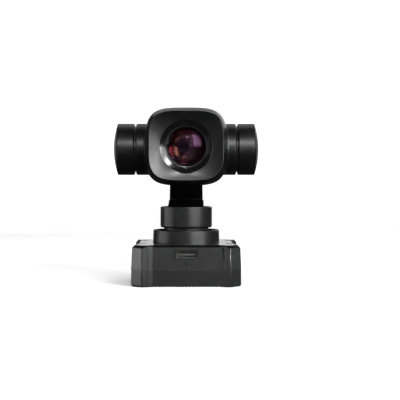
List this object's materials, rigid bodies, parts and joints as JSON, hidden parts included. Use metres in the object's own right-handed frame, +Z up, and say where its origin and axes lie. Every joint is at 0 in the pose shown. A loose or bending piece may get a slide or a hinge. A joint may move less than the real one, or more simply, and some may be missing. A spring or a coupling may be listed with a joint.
{
  "type": "camera gimbal",
  "caption": "Compact camera gimbal: square electronics base, stacked yaw discs, bent neck, yoke with motor drums and a rounded square camera head with a dished lens front.",
  "frame": {"origin": "centre of the base's underside, on the yaw axis", "axes": "+Z up from the base to the head, lens towards -Y, +X to the right seen from the front"},
  "size_m": [0.0576, 0.0548, 0.069],
  "materials": {
    "base_lower_paint": "fine bead-blasted dark grey anodised case",
    "base_upper_plastic": "satin dark grey moulded case",
    "yaw_disc_paint": "satin dark grey turned housing",
    "drum_black": "satin black turned drum",
    "neck_black": "black moulded shell",
    "head_black": "satin black moulded shell",
    "screw_steel": "black-zinc steel screw",
    "board_green": "solder-masked board",
    "spacer_brass": "turned brass",
    "socket_steel": "dark plated shell",
    "card_socket_steel": "bright plated shell",
    "tongue_plastic": "moulded tongue",
    "light_pipe": "dark tinted light pipe",
    "card_plastic": "moulded card",
    "signal_plastic": "natural moulded housing",
    "motor_iron": "laminated core",
    "coil_copper": "enamelled copper",
    "bearing_steel": "ground steel",
    "rotor_aluminium": "black anodised rotor",
    "magnet_nickel": "nickel plated",
    "flex_amber": "flexible printed strip",
    "barrel_black": "black anodised barrel",
    "ring_metal": "black ring with a polished edge",
    "lens_glass": "coated optical glass",
    "sensor_dark": "glazed sensor"
  },
  "bodies": {
    "base": {"base_lower_case": "base_lower_paint", "base_upper_case": "base_upper_plastic", "case_screws": "screw_steel", "main_board": "board_green", "port_board": "board_green", "board_spacers": "spacer_brass", "port_socket": "socket_steel", "port_tongue": "tongue_plastic", "status_light_pipe": "light_pipe", "card_socket": "card_socket_steel", "rear_signal_socket": "signal_plastic", "yaw_motor_housing": "yaw_disc_paint", "yaw_housing_screws": "screw_steel", "yaw_stator": "motor_iron", "yaw_coils": "coil_copper", "yaw_bearings": "bearing_steel"},
    "memory_card": {"memory_card": "card_plastic"},
    "yaw_frame": {"yaw_rotor": "rotor_aluminium", "yaw_magnets": "magnet_nickel", "yaw_shaft": "bearing_steel", "yaw_drum": "yaw_disc_paint", "neck_arm": "neck_black", "neck_cover": "neck_black", "neck_screws": "screw_steel", "neck_flex_cable": "flex_amber", "roll_motor_housing": "drum_black", "roll_stator": "motor_iron", "roll_coils": "coil_copper", "roll_bearings": "bearing_steel", "roll_end_cap": "drum_black"},
    "roll_frame": {"roll_rotor": "rotor_aluminium", "roll_magnets": "magnet_nickel", "roll_shaft": "bearing_steel", "yoke": "drum_black", "yoke_screws": "screw_steel", "pitch_motor_housing": "drum_black", "pitch_stator": "motor_iron", "pitch_coils": "coil_copper", "pitch_bearings": "bearing_steel", "left_end_cap": "drum_black", "right_drum": "drum_black", "right_bearings": "bearing_steel", "right_end_cap": "drum_black"},
    "camera_head": {"pitch_rotor": "rotor_aluminium", "pitch_magnets": "magnet_nickel", "pitch_shaft": "bearing_steel", "right_axle": "rotor_aluminium", "left_hub_collar": "drum_black", "right_hub_collar": "drum_black", "hub_screws": "screw_steel", "head_front_bezel": "head_black", "head_rear_shell": "head_black", "head_screws": "screw_steel", "lens_barrel": "barrel_black", "lens_ring": "ring_metal", "front_lens": "lens_glass", "inner_lenses": "lens_glass", "image_sensor": "sensor_dark", "sensor_board": "board_green"}
  },
  "joints": [
    {"name": "yaw", "type": "hinge", "parent": "base", "child": "yaw_frame", "pos_m": [0, 0, 0.0215], "axis": [0, 0, 1], "range_deg": [-135, 135]},
    {"name": "roll", "type": "hinge", "parent": "yaw_frame", "child": "roll_frame", "pos_m": [0, 0.0249, 0.0531], "axis": [0, 1, 0], "range_deg": [-30, 30]},
    {"name": "pitch", "type": "hinge", "parent": "roll_frame", "child": "camera_head", "pos_m": [0, 0, 0.0531], "axis": [-1, 0, 0], "range_deg": [-30, 100]},
    {"name": "card_slide", "type": "slide", "parent": "base", "child": "memory_card", "axis": [-1, 0, 0], "range_m": [-0.0005, 0.0035]}
  ]
}
